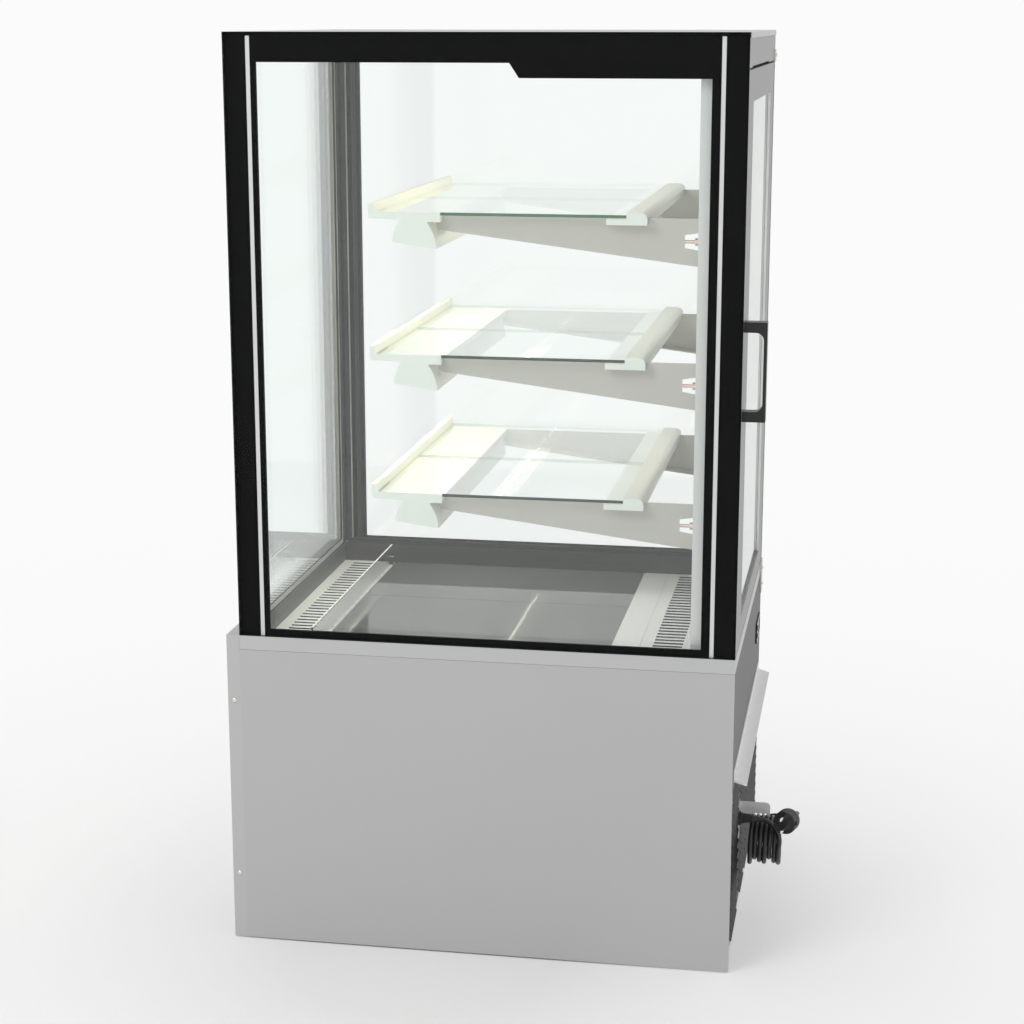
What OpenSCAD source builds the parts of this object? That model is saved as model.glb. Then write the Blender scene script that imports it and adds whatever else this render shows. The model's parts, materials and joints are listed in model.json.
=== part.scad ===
// Refrigerated display case: glazed on all sides, three lit glass shelves, hinged rear door.
// +Z is up, -Y is the customer's side, +Y the operator's side. The origin is on the floor,
// at the middle of the case.

/* [Case] */
// Length of the case, end pane to end pane
case_len = 630; // [560:1:900]
// Depth of the end panes
case_depth = 760; // [740:1:920]
// Height of the case above the floor
case_height = 1404; // [1390:1:1700]
// Height of the base, up to the glass
base_height = 499; // [470:1:560]

/* [Base] */
// How far the front panel stands out beyond the glass
ledge = 21; // [18:1:40]
// Thickness of the outer sheet metal
sheet_t = 1.2; // [0.8:0.1:2]
// Height of the panels' lower edge above the floor
floor_gap = 2; // [1:0.5:8]
// Height of the rim that the glass stands on
rim_h = 22; // [18:1:30]
// Width of the side returns of the front panel
return_w = 20; // [12:1:30]
// Height of the hood strip on the rear wall
hood_z = 302; // [270:1:330]
// Reach of the hood strip behind the rear wall
hood_reach = 20; // [15:1:40]
// Slope of the hood strip
hood_slope = 20; // [10:1:35]

/* [Glass] */
// Thickness of the outer panes at the ends
outer_pane_t = 6; // [5:0.5:8]
// Width of the space between end panes
pane_space = 10; // [8:1:14]
// Thickness of the inner panes
inner_pane_t = 4; // [4:0.5:6]
// Width of the black print at the front edge
print_front = 49; // [40:1:70]
// Width of the black print at the rear edge
print_rear = 52; // [40:1:70]
// Height of the black print above the base
print_bottom = 12; // [8:1:30]
// Depth of the roof edge at the customer's side
roof_front_h = 43; // [38:1:50]
// Depth of the roof edge at the operator's side
roof_rear_h = 64; // [56:1:80]
// Place of the step between the two, behind the front glass
roof_step_y = 420; // [380:1:460]
// Width of the bright strips in the print
strip_w = 6; // [4:1:10]
// Distance of the strips from the pane's edges
strip_inset = 33; // [20:1:36]

/* [Shelves] */
// Number of shelves
shelf_count = 3; // [1:1:3]
// Height of the lowest shelf's glass
shelf_first_z = 727; // [715:1:760]
// Distance from one shelf to the next
shelf_pitch = 210; // [180:1:215]
// Space between a shelf's ends and the inner panes
shelf_side_gap = 8; // [5:1:20]
// Front edge of a shelf, behind the front glass
shelf_front_y = 206; // [180:1:230]
// Depth of a shelf, front edge to rear edge
shelf_depth = 411; // [340:1:430]
// Thickness of the shelf glass
shelf_glass_t = 4.5; // [4:0.5:6]
// Thickness of the bracket sheet
bracket_t = 2; // [1.5:0.5:3]

/* [Deck] */
// Height of the display deck
deck_z = 467; // [450:1:470]
// Height of the air deflector glass
deflector_h = 38; // [25:1:60]
// Length of the far deck tray
far_tray_len = 228; // [180:1:320]

/* [Door] */
// Thickness of the door frame
door_t = 34; // [28:1:42]
// Width of the door's upright members
stile_w = 98; // [60:1:100]
// Height of the door's lower member
bottom_rail_h = 35; // [30:1:80]
// Height of the door's upper member
top_rail_h = 46; // [40:1:80]
// Depth of the glass behind the frame's outer face
door_reveal = 4; // [3:0.5:9]
// Radius of the hinge pins
pin_r = 4; // [3:0.5:5]
// Overall height of the handle
handle_h = 145; // [120:1:180]
// Reach of the handle behind the door
handle_reach = 33.5; // [30:0.5:45]

/* [Mains lead] */
// Diameter of the lead
lead_d = 7.5; // [7:0.1:8]
// Number of turns in the coil
coil_turns = 5; // [3:1:7]

/* [Hidden] */

fit = 0.2;            // clearance between pieces that touch
fine = 64;            // facets asked for on exact round faces
shaft_fit = 0.06;     // clearance around pins and shafts
half_len = case_len / 2;

// Mains lead: places are x and z, and distances from the rear wall
gland_x = 140;
gland_z = 186;
gland_out = 28;
coil_x = 115;
coil_z = 142;
coil_r = 37.5;
coil_pitch = 7.6;
coil_out = 21.5;
coil_end_out = coil_out + coil_turns * coil_pitch;
lead_r = lead_d / 2;
hook_reach = coil_end_out + 5;

front_y = -(case_depth + hook_reach - ledge) / 2;
rear_y = front_y + case_depth;
rim_z = base_height - rim_h;
ipane_x = half_len - outer_pane_t - pane_space;  // outer face of the inner end panes
inside_x = ipane_x - inner_pane_t;               // inner face of the inner end panes
front_inside_y = front_y + 12;                   // inner face of the front glazing
roof_front_z = case_height - roof_front_h + 9;  // underside, hidden behind the print
roof_rear_z = case_height - roof_rear_h + 9;
roof_step = 14;
cap_t = 1.5;
print_t = 0.3;
print_x = half_len - outer_pane_t - 0.05 - print_t;  // inner face of the printed skin
filled_x = print_x - 0.1;                            // half length of what lies between the end panes

// Door: it closes between the outer end panes, flush with their rear edges
door_gap = 1.5;
door_bottom_z = base_height + 3;
door_top_z = case_height - 52;
door_half = half_len - outer_pane_t - door_gap;
door_front_y = rear_y - door_t;
nose_r = 9.5;
pivot_x = -(door_half - nose_r);
pivot_y = rear_y - nose_r;
door_glass_t = door_t - door_reveal - 3;
rebate = 13;
lintel_z = door_top_z + 3;

// Inside
upright_front_y = rear_y - 69;
upright_depth = 28;
upright_x = inside_x - 3;
upright_w = 32;
bracket_x = upright_x - 25;
slot_pitch = 15;
slot_h = 9;
hook_h = 5;
hook_drop = 3;
shelf_half = inside_x - shelf_side_gap;
shelf_cap_t = 3;
profile_half = shelf_half - shelf_cap_t - 0.1;

// Deck, measured behind the front glass
grille_front_w = 90;
tray_front_y = front_y + 106;
deck_end_y = upright_front_y - 1;
rear_grille_y = deck_end_y - 90;
tray_rear_y = rear_grille_y - 44;
tank_bottom_z = 330;
tank_floor_t = 30;
tank_rear_t = 36;

// The brackets hang in the uprights' slots, so a shelf moves by whole slots
function shelf_z(i) = shelf_first_z + i * slot_pitch * round(shelf_pitch / slot_pitch);

module block(low, high) {
    translate(low) cube(high - low);
}

module both_ends() {
    children();
    mirror([1, 0, 0]) children();
}

// A plate drawn in Y and Z, extruded along X from x0 by length
module along_x(x0, length) {
    translate([x0, 0, 0]) rotate([90, 0, 90]) linear_extrude(length) children();
}

// ---------------------------------------------------------------- base

pan_half = half_len - sheet_t - 0.3;
pan_z = 22;
foot_inset = 45;

module foot_places() {
    for (x = [-1, 1], y = [front_y + foot_inset, rear_y - foot_inset])
        translate([x * (half_len - foot_inset), y, 0]) children();
}

module floor_pan() {
    skirt = 16;
    color("lightsteelblue") difference() {
        block([-pan_half, front_y - ledge + 3, pan_z - skirt], [pan_half, rear_y - 4, pan_z]);
        block([-pan_half + 1.5, front_y - ledge + 4.5, -1], [pan_half - 1.5, rear_y - 5.5, pan_z - 1.5]);
        foot_places() cylinder(r = 5.5, h = 60, $fn = fine);
    }
}

module feet() {
    pad_r = 20;
    color("dimgray") foot_places() {
        cylinder(r1 = pad_r, r2 = pad_r - 2, h = 6, $fn = fine);
        cylinder(r = 5, h = pan_z + 16, $fn = fine);
        translate([0, 0, pan_z + 0.1]) cylinder(r = 9.2, h = 8, $fn = 6);
        translate([0, 0, pan_z - 9.7]) cylinder(r = 9.2, h = 8, $fn = 6);
    }
}

module corner_posts() {
    leg = 30;
    wall = 2;
    color("silver") both_ends() for (rear = [0, 1]) {
        y = rear ? rear_y - 8 : front_y - ledge + 8;
        translate([pan_half - 0.5, y, pan_z + fit]) scale([1, rear ? -1 : 1, 1])
            linear_extrude(tank_bottom_z - pan_z - 2 * fit)
                polygon([[0, 0], [0, leg], [-wall, leg], [-wall, wall], [-leg, wall], [-leg, 0]]);
    }
}

module side_panels() {
    hem = 12;
    color("lightgray") both_ends() {
        block([half_len - sheet_t, front_y - 1, floor_gap], [half_len, rear_y, rim_z - 0.4]);
        block([half_len - hem, rear_y - sheet_t, floor_gap], [half_len, rear_y, hood_z - 14]);
    }
}

module front_panel() {
    y0 = front_y - ledge;
    color("lightgray") difference() {
        block([-half_len, y0, floor_gap], [half_len, front_y - fit, base_height]);
        block([-half_len + sheet_t, y0 + sheet_t, floor_gap + sheet_t],
              [half_len - sheet_t, rear_y, base_height - sheet_t]);
        both_ends() block([half_len - sheet_t - 1, y0 + return_w, -1], [half_len + 1, rear_y, rim_z]);
    }
}

module base_rim() {
    end_w = half_len - inside_x;
    color("lightgray") {
        both_ends() block([half_len - end_w, front_y, rim_z], [half_len, rear_y, base_height]);
        block([-inside_x + fit, front_y, rim_z], [inside_x - fit, front_inside_y, base_height]);
        block([-inside_x + fit, rear_y - tank_rear_t, rim_z], [inside_x - fit, rear_y, base_height]);
    }
}

module rear_wall() {
    half = half_len - sheet_t - fit;
    color("darkgray") difference() {
        block([-half, rear_y - sheet_t, hood_z - 12], [half, rear_y, rim_z - 0.4]);
        controller_window(1);
    }
}

module hood() {
    flange = 16;
    drop = hood_reach * tan(hood_slope);
    color("gainsboro") along_x(-(half_len - 25), case_len - 50)
        translate([rear_y + 0.1, hood_z])
            polygon([[0, -2], [0, flange], [1.5, flange], [1.5, 0.6], [hood_reach, -drop + 2],
                     [hood_reach, -drop]]);
}

louvre_pitch = 17;
louvre_first_z = 38;
louvre_rows = floor((hood_z - 21 - louvre_first_z) / louvre_pitch);
// Ends of the louvre banks; the plain strip between two of them carries the cord's fittings
louvre_banks = [[-half_len + 29, -10], [10, gland_x - 47], [gland_x + 22, half_len - 29]];
louvre_depth = 5;

module louvre_panel() {
    half = half_len - 13;
    y = rear_y - 3;
    color("dimgray") difference() {
        union() {
            block([-half, y - 1.5, pan_z + fit], [half, y, hood_z - 12 - fit]);
            for (bank = louvre_banks, i = [0 : louvre_rows - 1])
                translate([0, y, louvre_first_z + i * louvre_pitch])
                    along_x(bank[0], bank[1] - bank[0])
                        polygon([[0, 9], [louvre_depth, 2], [louvre_depth, 0.8], [0, 7.4]]);
        }
        for (bank = louvre_banks, i = [0 : louvre_rows - 1])
            translate([0, y, louvre_first_z + i * louvre_pitch])
                block([bank[0] + 3, -3, 1], [bank[1] - 3, 1, 6.6]);
        translate([gland_x, y - 5, gland_z]) rotate([-90, 0, 0]) cylinder(r = 6.2, h = 20, $fn = fine);
    }
}

module dome_screw(r = 4, h = 2.2) {
    rotate_extrude($fn = fine)
        polygon([[0, 0], [r, 0], [r * 0.92, h * 0.45], [r * 0.7, h * 0.8], [r * 0.35, h], [0, h]]);
}

module panel_screws() {
    color("silver") {
        both_ends() for (z = [109, 394])
            translate([half_len + 0.05, front_y - ledge / 2, z]) rotate([0, 90, 0]) dome_screw();
        both_ends() for (z = [32, 268])
            translate([half_len - 22, rear_y - 2.95, z]) rotate([-90, 0, 0]) dome_screw(4, 2.6);
        for (x = [-half_len + 65, 0, half_len - 65])
            translate([x, rear_y + 1.65, hood_z + 9]) rotate([-90, 0, 0]) dome_screw(3.5, 1.8);
    }
}

controller_x = -(half_len - 90);
controller_z = rim_z - 81;

module controller_window(extra) {
    translate([controller_x, rear_y, controller_z])
        block([-36 - extra, -40, -14 - extra], [36 + extra, 10, 14 + extra]);
}

module controller() {
    color("black") translate([controller_x, rear_y, controller_z]) {
        block([-36, -38, -14], [36, 0.1, 14]);
        difference() {
            block([-39, 0.1, -17.5], [39, 3, 17.5]);
            block([-34, 2, -11], [12, 4, 12]);
        }
        for (row = [-1, 1], k = [0, 1])
            translate([20 + k * 11, 3, row * 7]) rotate([-90, 0, 0]) cylinder(r = 3.4, h = 0.8, $fn = fine);
    }
}

// ---------------------------------------------------------------- well and deck

tank_front_y = front_y - ledge + 3;

module tank_floor() {
    color("whitesmoke") block([-pan_half, tank_front_y, tank_bottom_z],
                              [pan_half, rear_y - sheet_t - fit, tank_bottom_z + tank_floor_t]);
}

module tank_walls() {
    z0 = tank_bottom_z + tank_floor_t + fit;
    z1 = rim_z - fit;
    rear = rear_y - sheet_t - fit;
    color("whitesmoke") {
        block([-pan_half, tank_front_y, z0], [pan_half, front_inside_y, z1]);
        difference() {
            block([-pan_half, rear - tank_rear_t, z0], [pan_half, rear, z1]);
            controller_window(0.5);
        }
        both_ends() block([inside_x, front_inside_y + fit, z0], [pan_half, rear - tank_rear_t - fit, z1]);
    }
}

well_z = tank_bottom_z + tank_floor_t;
evap_y0 = front_y + 430;
evap_depth = 110;
evap_h = 78;
evap_half = inside_x - 45;

module evaporator() {
    fins = 24;
    pitch = 2 * evap_half / fins;
    color("lightsteelblue") {
        for (i = [0 : fins - 1])
            translate([-evap_half + (i + 0.5) * pitch - 1, evap_y0, well_z + fit])
                cube([2, evap_depth, evap_h]);
        for (row = [0, 1, 2], level = [0, 1])
            translate([-evap_half, evap_y0 + 20 + row * 34, well_z + 22 + level * 32]) rotate([0, 90, 0])
                cylinder(r = 5, h = 2 * evap_half, $fn = fine);
    }
}

fan_y = front_y + 320;
fan_z = well_z + 46;
fan_x = 130;
evap_fan_r = 38;
fan_plate_t = 2;
shaft_r = 3;

module fan_plate() {
    motor_len = 34;
    color("silver") {
        difference() {
            block([-inside_x + fit, fan_y, well_z + fit], [inside_x - fit, fan_y + fan_plate_t, deck_z - 9]);
            for (side = [-1, 1]) translate([side * fan_x, fan_y - 1, fan_z]) rotate([-90, 0, 0])
                cylinder(r = evap_fan_r + 3, h = 5, $fn = fine);
        }
        for (side = [-1, 1]) translate([side * fan_x, fan_y + fan_plate_t, fan_z]) {
            rotate([-90, 0, 0]) translate([0, 0, 14]) cylinder(r = 18, h = motor_len, $fn = fine);
            rotate([-90, 0, 0]) translate([0, 0, 2]) cylinder(r = shaft_r, h = 13, $fn = fine);
            for (x = [-1, 1]) translate([x * 44 - 2, 0, -3]) cube([4, 20, 6]);
            translate([-46, 16, -3]) cube([92, 4, 6]);
        }
    }
}

// An axial fan along +Y: a hub bored for its shaft from the motor's side, and pitched blades
module rotor(r, hub_r, depth, blades, bore_y0, bore_y1) {
    difference() {
        rotor_body(r, hub_r, depth, blades);
        translate([0, bore_y0, 0]) rotate([-90, 0, 0])
            cylinder(r = shaft_r + shaft_fit, h = bore_y1 - bore_y0, $fn = fine);
    }
}

module rotor_body(r, hub_r, depth, blades) {
    rotate([-90, 0, 0]) cylinder(r = hub_r, h = depth, $fn = fine);
    intersection() {
        rotate([-90, 0, 0]) cylinder(r = r, h = depth, $fn = fine);
        for (i = [0 : blades - 1]) rotate([0, i * 360 / blades, 0]) translate([0, depth / 2, 0])
            rotate([0, 0, 28]) translate([-r * 0.3, -0.9, 0]) cube([r * 0.6, 1.8, r + 2]);
    }
}

module evap_fan(side) {
    color("black") translate([side * fan_x, fan_y - 4, fan_z]) rotor(evap_fan_r, 15, 19.5, 5, 7, 20);
}

module deck_bearers() {
    top = deck_z - deck_sheet;
    ends = [
        [front_inside_y + fit, front_inside_y + 6], [tray_front_y - 12, tray_front_y + 6],
        [tray_rear_y - 8, tray_rear_y + 8], [deck_end_y - 8, deck_end_y]
    ];
    color("silver") for (e = ends)
        block([-inside_x + fit, e[0], top - 16], [inside_x - fit, e[1], top - fit]);
}

grille_pitch = 17.7;
deck_half = inside_x - 1;
deck_sheet = 2;

// A deck plate with a row of slots across it
module slotted_plate(y0, y1, slot_y0, slot_y1, slot_w, count) {
    difference() {
        block([-deck_half, y0, deck_z - deck_sheet], [deck_half, y1, deck_z]);
        for (i = [0 : count - 1])
            translate([(i - (count - 1) / 2) * (2 * deck_half - 24) / count, 0, 0])
                block([-slot_w / 2, slot_y0, deck_z - 4], [slot_w / 2, slot_y1, deck_z + 2]);
    }
}

module front_grille() {
    count = floor(2 * deck_half / grille_pitch);
    color("lightgray") slotted_plate(front_inside_y + fit, front_inside_y + grille_front_w,
                                     front_y + 31, front_y + 73, 8, count);
}

module rear_grille() {
    count = floor(2 * deck_half / grille_pitch);
    color("lightgray") {
        block([-deck_half, tray_rear_y + fit, deck_z - deck_sheet], [deck_half, rear_grille_y - 0.5, deck_z]);
        slotted_plate(rear_grille_y, deck_end_y, rear_grille_y + 20, rear_grille_y + 66, 8, count);
    }
}

module tray(x0, x1) {
    lip = 8;
    block([x0, tray_front_y, deck_z - deck_sheet], [x1, tray_rear_y, deck_z]);
    for (x = [x0, x1 - deck_sheet])
        block([x, tray_front_y + 10, deck_z - lip], [x + deck_sheet, tray_rear_y - 12, deck_z - deck_sheet]);
}

seam_x = -deck_half + far_tray_len;

module tray_near() {
    color("gray") tray(seam_x + 0.5, deck_half);
}

module tray_far() {
    color("gray") tray(-deck_half, seam_x - 0.5);
}

module deflector() {
    y = front_y + 102.6;
    end = deck_half - 22;
    color("lightcyan") block([-end, y, deck_z + 0.5], [end, y + 2.4, deck_z + deflector_h]);
    color("silver") both_ends() difference() {
        block([end - 8, y - 3, deck_z], [end + 2.5, y + 3.3, deck_z + 16]);
        block([end - 9, y - 0.1, deck_z + 0.4], [end + 0.1, y + 2.5, deck_z + 20]);
    }
}

// ---------------------------------------------------------------- machine compartment

module compressor() {
    r = 68;
    translate([half_len - 150, front_y + 330, pan_z + fit]) color("black") {
        difference() {
            block([-95, -80, 0], [95, 80, 3]);
            for (x = [-82, 82], y = [-66, 66]) translate([x, y, -1]) cylinder(r = 6, h = 6, $fn = fine);
        }
        translate([0, 0, 3]) rotate_extrude($fn = fine)
            polygon([[0, 0], [r - 12, 0], [r - 3, 8], [r, 24], [r, 88], [r + 3, 88], [r + 3, 93], [r, 93],
                     [r - 3, 130], [r - 16, 152], [r - 36, 163], [0, 166]]);
        translate([r - 8, -24, 62]) cube([34, 48, 46]);
    }
}

cond_x0 = -(half_len - 40);
cond_w = 250;
cond_h = 200;
cond_y0 = rear_y - 130;
cond_d = 60;
cond_fan_r = 88;
cond_fan_x = cond_x0 + cond_w / 2;
cond_fan_z = pan_z + 8 + cond_h / 2;

module condenser() {
    fins = 20;
    pitch = (cond_w - 12) / fins;
    color("gray") {
        for (i = [0 : fins]) translate([cond_x0 + 5 + i * pitch, cond_y0, pan_z + 8])
            cube([2, cond_d, cond_h]);
        block([cond_x0, cond_y0, pan_z + fit], [cond_x0 + cond_w, cond_y0 + cond_d, pan_z + 8]);
        block([cond_x0, cond_y0, pan_z + 8 + cond_h],
              [cond_x0 + cond_w, cond_y0 + cond_d, pan_z + 16 + cond_h]);
        for (level = [0 : 4]) translate([cond_x0 + 5, cond_y0 + 30, pan_z + 28 + level * 40])
            rotate([0, 90, 0]) cylinder(r = 4.5, h = cond_w - 8, $fn = fine);
        difference() {
            block([cond_x0, cond_y0 - 34, pan_z + fit],
                  [cond_x0 + cond_w, cond_y0 - fit, pan_z + 16 + cond_h]);
            block([cond_x0 + 2, cond_y0 - 32, pan_z + 8],
                  [cond_x0 + cond_w - 2, cond_y0 + 1, pan_z + 8 + cond_h]);
            translate([cond_fan_x, cond_y0 - 40, cond_fan_z]) rotate([-90, 0, 0])
                cylinder(r = cond_fan_r + 4, h = 10, $fn = fine);
        }
        translate([cond_fan_x, cond_y0 - 64, cond_fan_z]) {
            rotate([90, 0, 0]) cylinder(r = 28, h = 42, $fn = fine);
            translate([0, -1, 0]) rotate([-90, 0, 0]) cylinder(r = shaft_r, h = 21, $fn = fine);
        }
        for (turn = [45 : 90 : 315]) translate([cond_fan_x, cond_y0 - 66, cond_fan_z]) rotate([0, turn, 0])
            translate([-3, -4, 20]) cube([6, 4, cond_fan_r]);
        for (turn = [45 : 90 : 315]) translate([cond_fan_x, cond_y0 - 70, cond_fan_z]) rotate([0, turn, 0])
            translate([-3, 0, cond_fan_r + 8]) cube([6, 36.5, 4]);
    }
}

module condenser_fan() {
    color("black") translate([cond_fan_x, cond_y0 - 63.5, cond_fan_z]) rotor(cond_fan_r, 24, 36, 5, -1, 21);
}

// ---------------------------------------------------------------- mains lead

loop_out = coil_end_out + lead_r + 0.15;
plug_turn = -19;
plug_rear = [150, 87.5, 201];

// Points behind the rear wall: [x, distance from the wall, z]
gland_route = [
    [140, 28, 186], [140.1, 35, 186], [141.8, 43, 185.1], [144, 50.8, 181.9], [147.3, 57.7, 176.5],
    [150, 62.8, 169], [151.6, 65.6, 160.2], [152.1, 65.9, 150.9]
];
plug_route = [
    [115, 17.6, 104.5], [105.3, 17.6, 105.8], [96.2, 17.6, 109.5], [88.5, 17.6, 115.5],
    [80.5, 17.6, 123.5], [72.5, 17.7, 131.8], [64.9, 19.8, 140], [58, 25.3, 148], [53.2, 34.6, 154.8],
    [51.8, 46.7, 159.4], [54.8, 59.3, 161.6], [62.2, 69.9, 163.2], [72.8, 77.6, 166.4],
    [85.2, 82.4, 171.6], [98, 85.9, 178.4], [110.8, 88.7, 185.6], [123.5, 91.2, 192.8],
    [136.4, 91.9, 199.2], [150, 87.5, 201]
];
loop_steps = 10;
loop_route = [
    for (i = [0 : loop_steps]) let (a = -180 * i / loop_steps)
        [coil_x + coil_r * cos(a), loop_out, coil_z + coil_r * sin(a)]
];

function unit(v) = v / norm(v);
function tangents(p) = [
    for (i = [0 : len(p) - 1])
        unit(i == 0 ? p[1] - p[0] : i == len(p) - 1 ? p[i] - p[i - 1] : p[i + 1] - p[i - 1])
];
function carried(t, i, side) = unit(side - (side * t[i]) * t[i]);
function sides(t, i = 0, side = [0.3, 0.2, 1]) =
    let (s = carried(t, i, side)) i == len(t) - 1 ? [s] : concat([s], sides(t, i + 1, s));

// A round tube of n sides swept along the points p
module sweep(p, r, n) {
    t = tangents(p);
    s = sides(t);
    rings = len(p);
    points = [
        for (i = [0 : rings - 1], k = [0 : n - 1])
            p[i] + r * (cos(k * 360 / n) * s[i] + sin(k * 360 / n) * cross(t[i], s[i]))
    ];
    walls = [
        for (i = [0 : rings - 2], k = [0 : n - 1])
            [(i + 1) * n + k, (i + 1) * n + (k + 1) % n, i * n + (k + 1) % n, i * n + k]
    ];
    ends = [[for (k = [0 : n - 1]) k], [for (k = [n - 1 : -1 : 0]) (rings - 1) * n + k]];
    polyhedron(points, concat(walls, ends));
}

module gland() {
    color("dimgray") translate([gland_x, rear_y - 3 - 1.5, gland_z]) rotate([-90, 0, 0]) {
        translate([0, 0, -10]) cylinder(r = 6, h = 12, $fn = fine);
        translate([0, 0, -4]) cylinder(r = 11, h = 3.8, $fn = 6);
        translate([0, 0, 1.7]) cylinder(r = 11.5, h = 6, $fn = 6);
        translate([0, 0, 7.7]) rotate_extrude($fn = fine)
            polygon(concat(
                [[0, 0], [9, 0], [9, 3]],
                [for (i = [0 : 4]) each [[7.8 - 0.5 * i, 4 + 3 * i], [8.2 - 0.5 * i, 6 + 3 * i]]],
                [[lead_r + 0.6, gland_out - 3.3], [0, gland_out - 3.3]]
            ));
    }
}

// A plate on the rear panel, a flat arm that the coil hangs on, and a notched tab above the coil
module cord_hook() {
    arm_half = 9;
    arm_t = 3;
    inner = coil_r - lead_r;
    arm_z = coil_z + sqrt(inner * inner - arm_half * arm_half) - 0.3;
    tab_z = coil_z + coil_r + lead_r + 1.5;
    color("silver") translate([coil_x, rear_y, 0]) {
        block([-11, -2.9, arm_z - 34], [11, -0.9, tab_z + 20]);
        difference() {
            block([-arm_half, -1, arm_z - arm_t], [arm_half, hook_reach, arm_z]);
            for (x = [-1, 1]) translate([x * 13, hook_reach + 2, arm_z - 5])
                cylinder(r = 8, h = 8, $fn = fine);
        }
        difference() {
            union() {
                block([-1, -1, tab_z], [1, 42, tab_z + 20]);
                block([-1, 41, tab_z], [1, 48, tab_z + 13]);
                translate([-1, 41, tab_z + 13]) rotate([0, 90, 0]) cylinder(r = 7, h = 2, $fn = fine);
            }
            for (i = [0 : 2]) translate([-2, coil_out + (i + 0.5) * coil_pitch, tab_z - 0.6])
                rotate([0, 90, 0]) cylinder(r = 2.6, h = 4, $fn = fine);
        }
    }
}

module cord_tube() {
    color("black") translate([0, rear_y, 0]) {
        sweep(concat(gland_route, loop_route), lead_r, 10);
        sweep(plug_route, lead_r, 10);
    }
}

module cord_coil() {
    color("black") translate([coil_x, rear_y + coil_out, coil_z]) rotate([-90, 0, 0])
        rotate_extrude($fn = fine) translate([coil_r - lead_r, 0]) square([lead_d, coil_turns * coil_pitch]);
}

// Two round pins, a recessed round face with a flat notch at each side, and a tapered grip
module plug() {
    disc_r = 18.5;
    grip_len = 27;
    face_len = 42;
    pin_tilt = 4;
    color("black") translate([0, rear_y, 0]) translate(plug_rear) rotate([0, 0, plug_turn])
        rotate([0, 90, 0]) {
            rotate_extrude($fn = fine)
                polygon([[0, 0.1], [lead_r + 1, 0.1], [lead_r + 2, 5], [8.5, 12], [11, 20],
                         [disc_r - 3, grip_len], [disc_r, grip_len + 3], [disc_r, face_len - 1],
                         [disc_r - 1, face_len], [disc_r - 3, face_len], [disc_r - 3, face_len - 1.5],
                         [0, face_len - 1.5]]);
            for (side = [-1, 1]) rotate([0, 0, pin_tilt]) translate([side * 9.5, 0, face_len - 1.5])
                cylinder(r = 2.4, h = 19, $fn = fine);
        }
}

// ---------------------------------------------------------------- glazing

module end_panes() {
    color("lightcyan", 0.4) both_ends()
        block([half_len - outer_pane_t, front_y, base_height + fit], [half_len, rear_y, case_height]);
}

inner_rear_y = upright_front_y + upright_depth;

// Outline of an inner end pane from y0 to y1, drawn in by d; its top follows the step in the roof
module pane_outline(y0, y1, d) {
    step_y = front_y + roof_step_y - fit;
    polygon([[y0 + d, base_height + fit + d], [y1 - d, base_height + fit + d],
             [y1 - d, roof_rear_z - fit - d], [step_y + roof_step, roof_rear_z - fit - d],
             [step_y, roof_front_z - fit - d], [y0 + d, roof_front_z - fit - d]]);
}

module inner_panes() {
    color("lightcyan", 0.4) both_ends()
        along_x(inside_x, inner_pane_t) pane_outline(front_inside_y + fit, inner_rear_y, 0);
}

// Window in the print, as seen from the end
module window_outline() {
    y0 = front_y + print_front;
    y1 = rear_y - print_rear;
    step_y = front_y + roof_step_y;
    polygon([[y0, base_height + print_bottom], [y1, base_height + print_bottom],
             [y1, case_height - roof_rear_h], [step_y + roof_step, case_height - roof_rear_h],
             [step_y, case_height - roof_front_h], [y0, case_height - roof_front_h]]);
}

strip_top = case_height - 6;
strip_ys = [front_y + strip_inset, rear_y - strip_inset - strip_w];

module strip_outline(grow) {
    for (y = strip_ys) translate([y - grow, base_height + fit - grow])
        square([strip_w + 2 * grow, strip_top - base_height + 2 * grow]);
}

module edge_print() {
    x = print_x;
    color("black") {
        both_ends() along_x(x, print_t) difference() {
            translate([front_y, base_height + fit]) square([case_depth, case_height - base_height - fit]);
            window_outline();
            strip_outline(0.1);
        }
        difference() {
            block([-filled_x, front_y + 4.05, base_height + fit],
                  [filled_x, front_y + 4.05 + print_t, case_height - cap_t - fit]);
            block([-half_len + print_front, front_y, base_height + print_bottom],
                  [half_len - print_front, front_y + 10, case_height - roof_front_h]);
        }
    }
}

module trim_strips() {
    color("silver") both_ends()
        along_x(print_x, print_t) strip_outline(0);
}

// Spacer bars between the panes of each glazed end and of the front
module spacers() {
    bar = 8;
    z0 = base_height + fit;
    x0 = ipane_x + 0.1;
    x1 = filled_x;
    y0 = front_inside_y + 4;
    color("dimgray") {
        both_ends() along_x(x0, x1 - x0) difference() {
            pane_outline(y0, inner_rear_y - 2, 0);
            pane_outline(y0, inner_rear_y - 2, bar);
        }
        difference() {
            block([-x0 + 2, front_y + 4.45, z0], [x0 - 2, front_y + 7.9, roof_front_z - fit]);
            block([-x0 + 2 + bar, front_y, z0 + bar], [x0 - 2 - bar, front_y + 10, roof_front_z - fit - bar]);
        }
    }
}

module front_panes() {
    color("lightcyan", 0.4) {
        block([-filled_x, front_y, base_height + fit], [filled_x, front_y + 4, case_height - cap_t - fit]);
        block([-inside_x + fit, front_y + 8, base_height + fit],
              [inside_x - fit, front_inside_y, roof_front_z - fit]);
    }
}

// ---------------------------------------------------------------- roof

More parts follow.
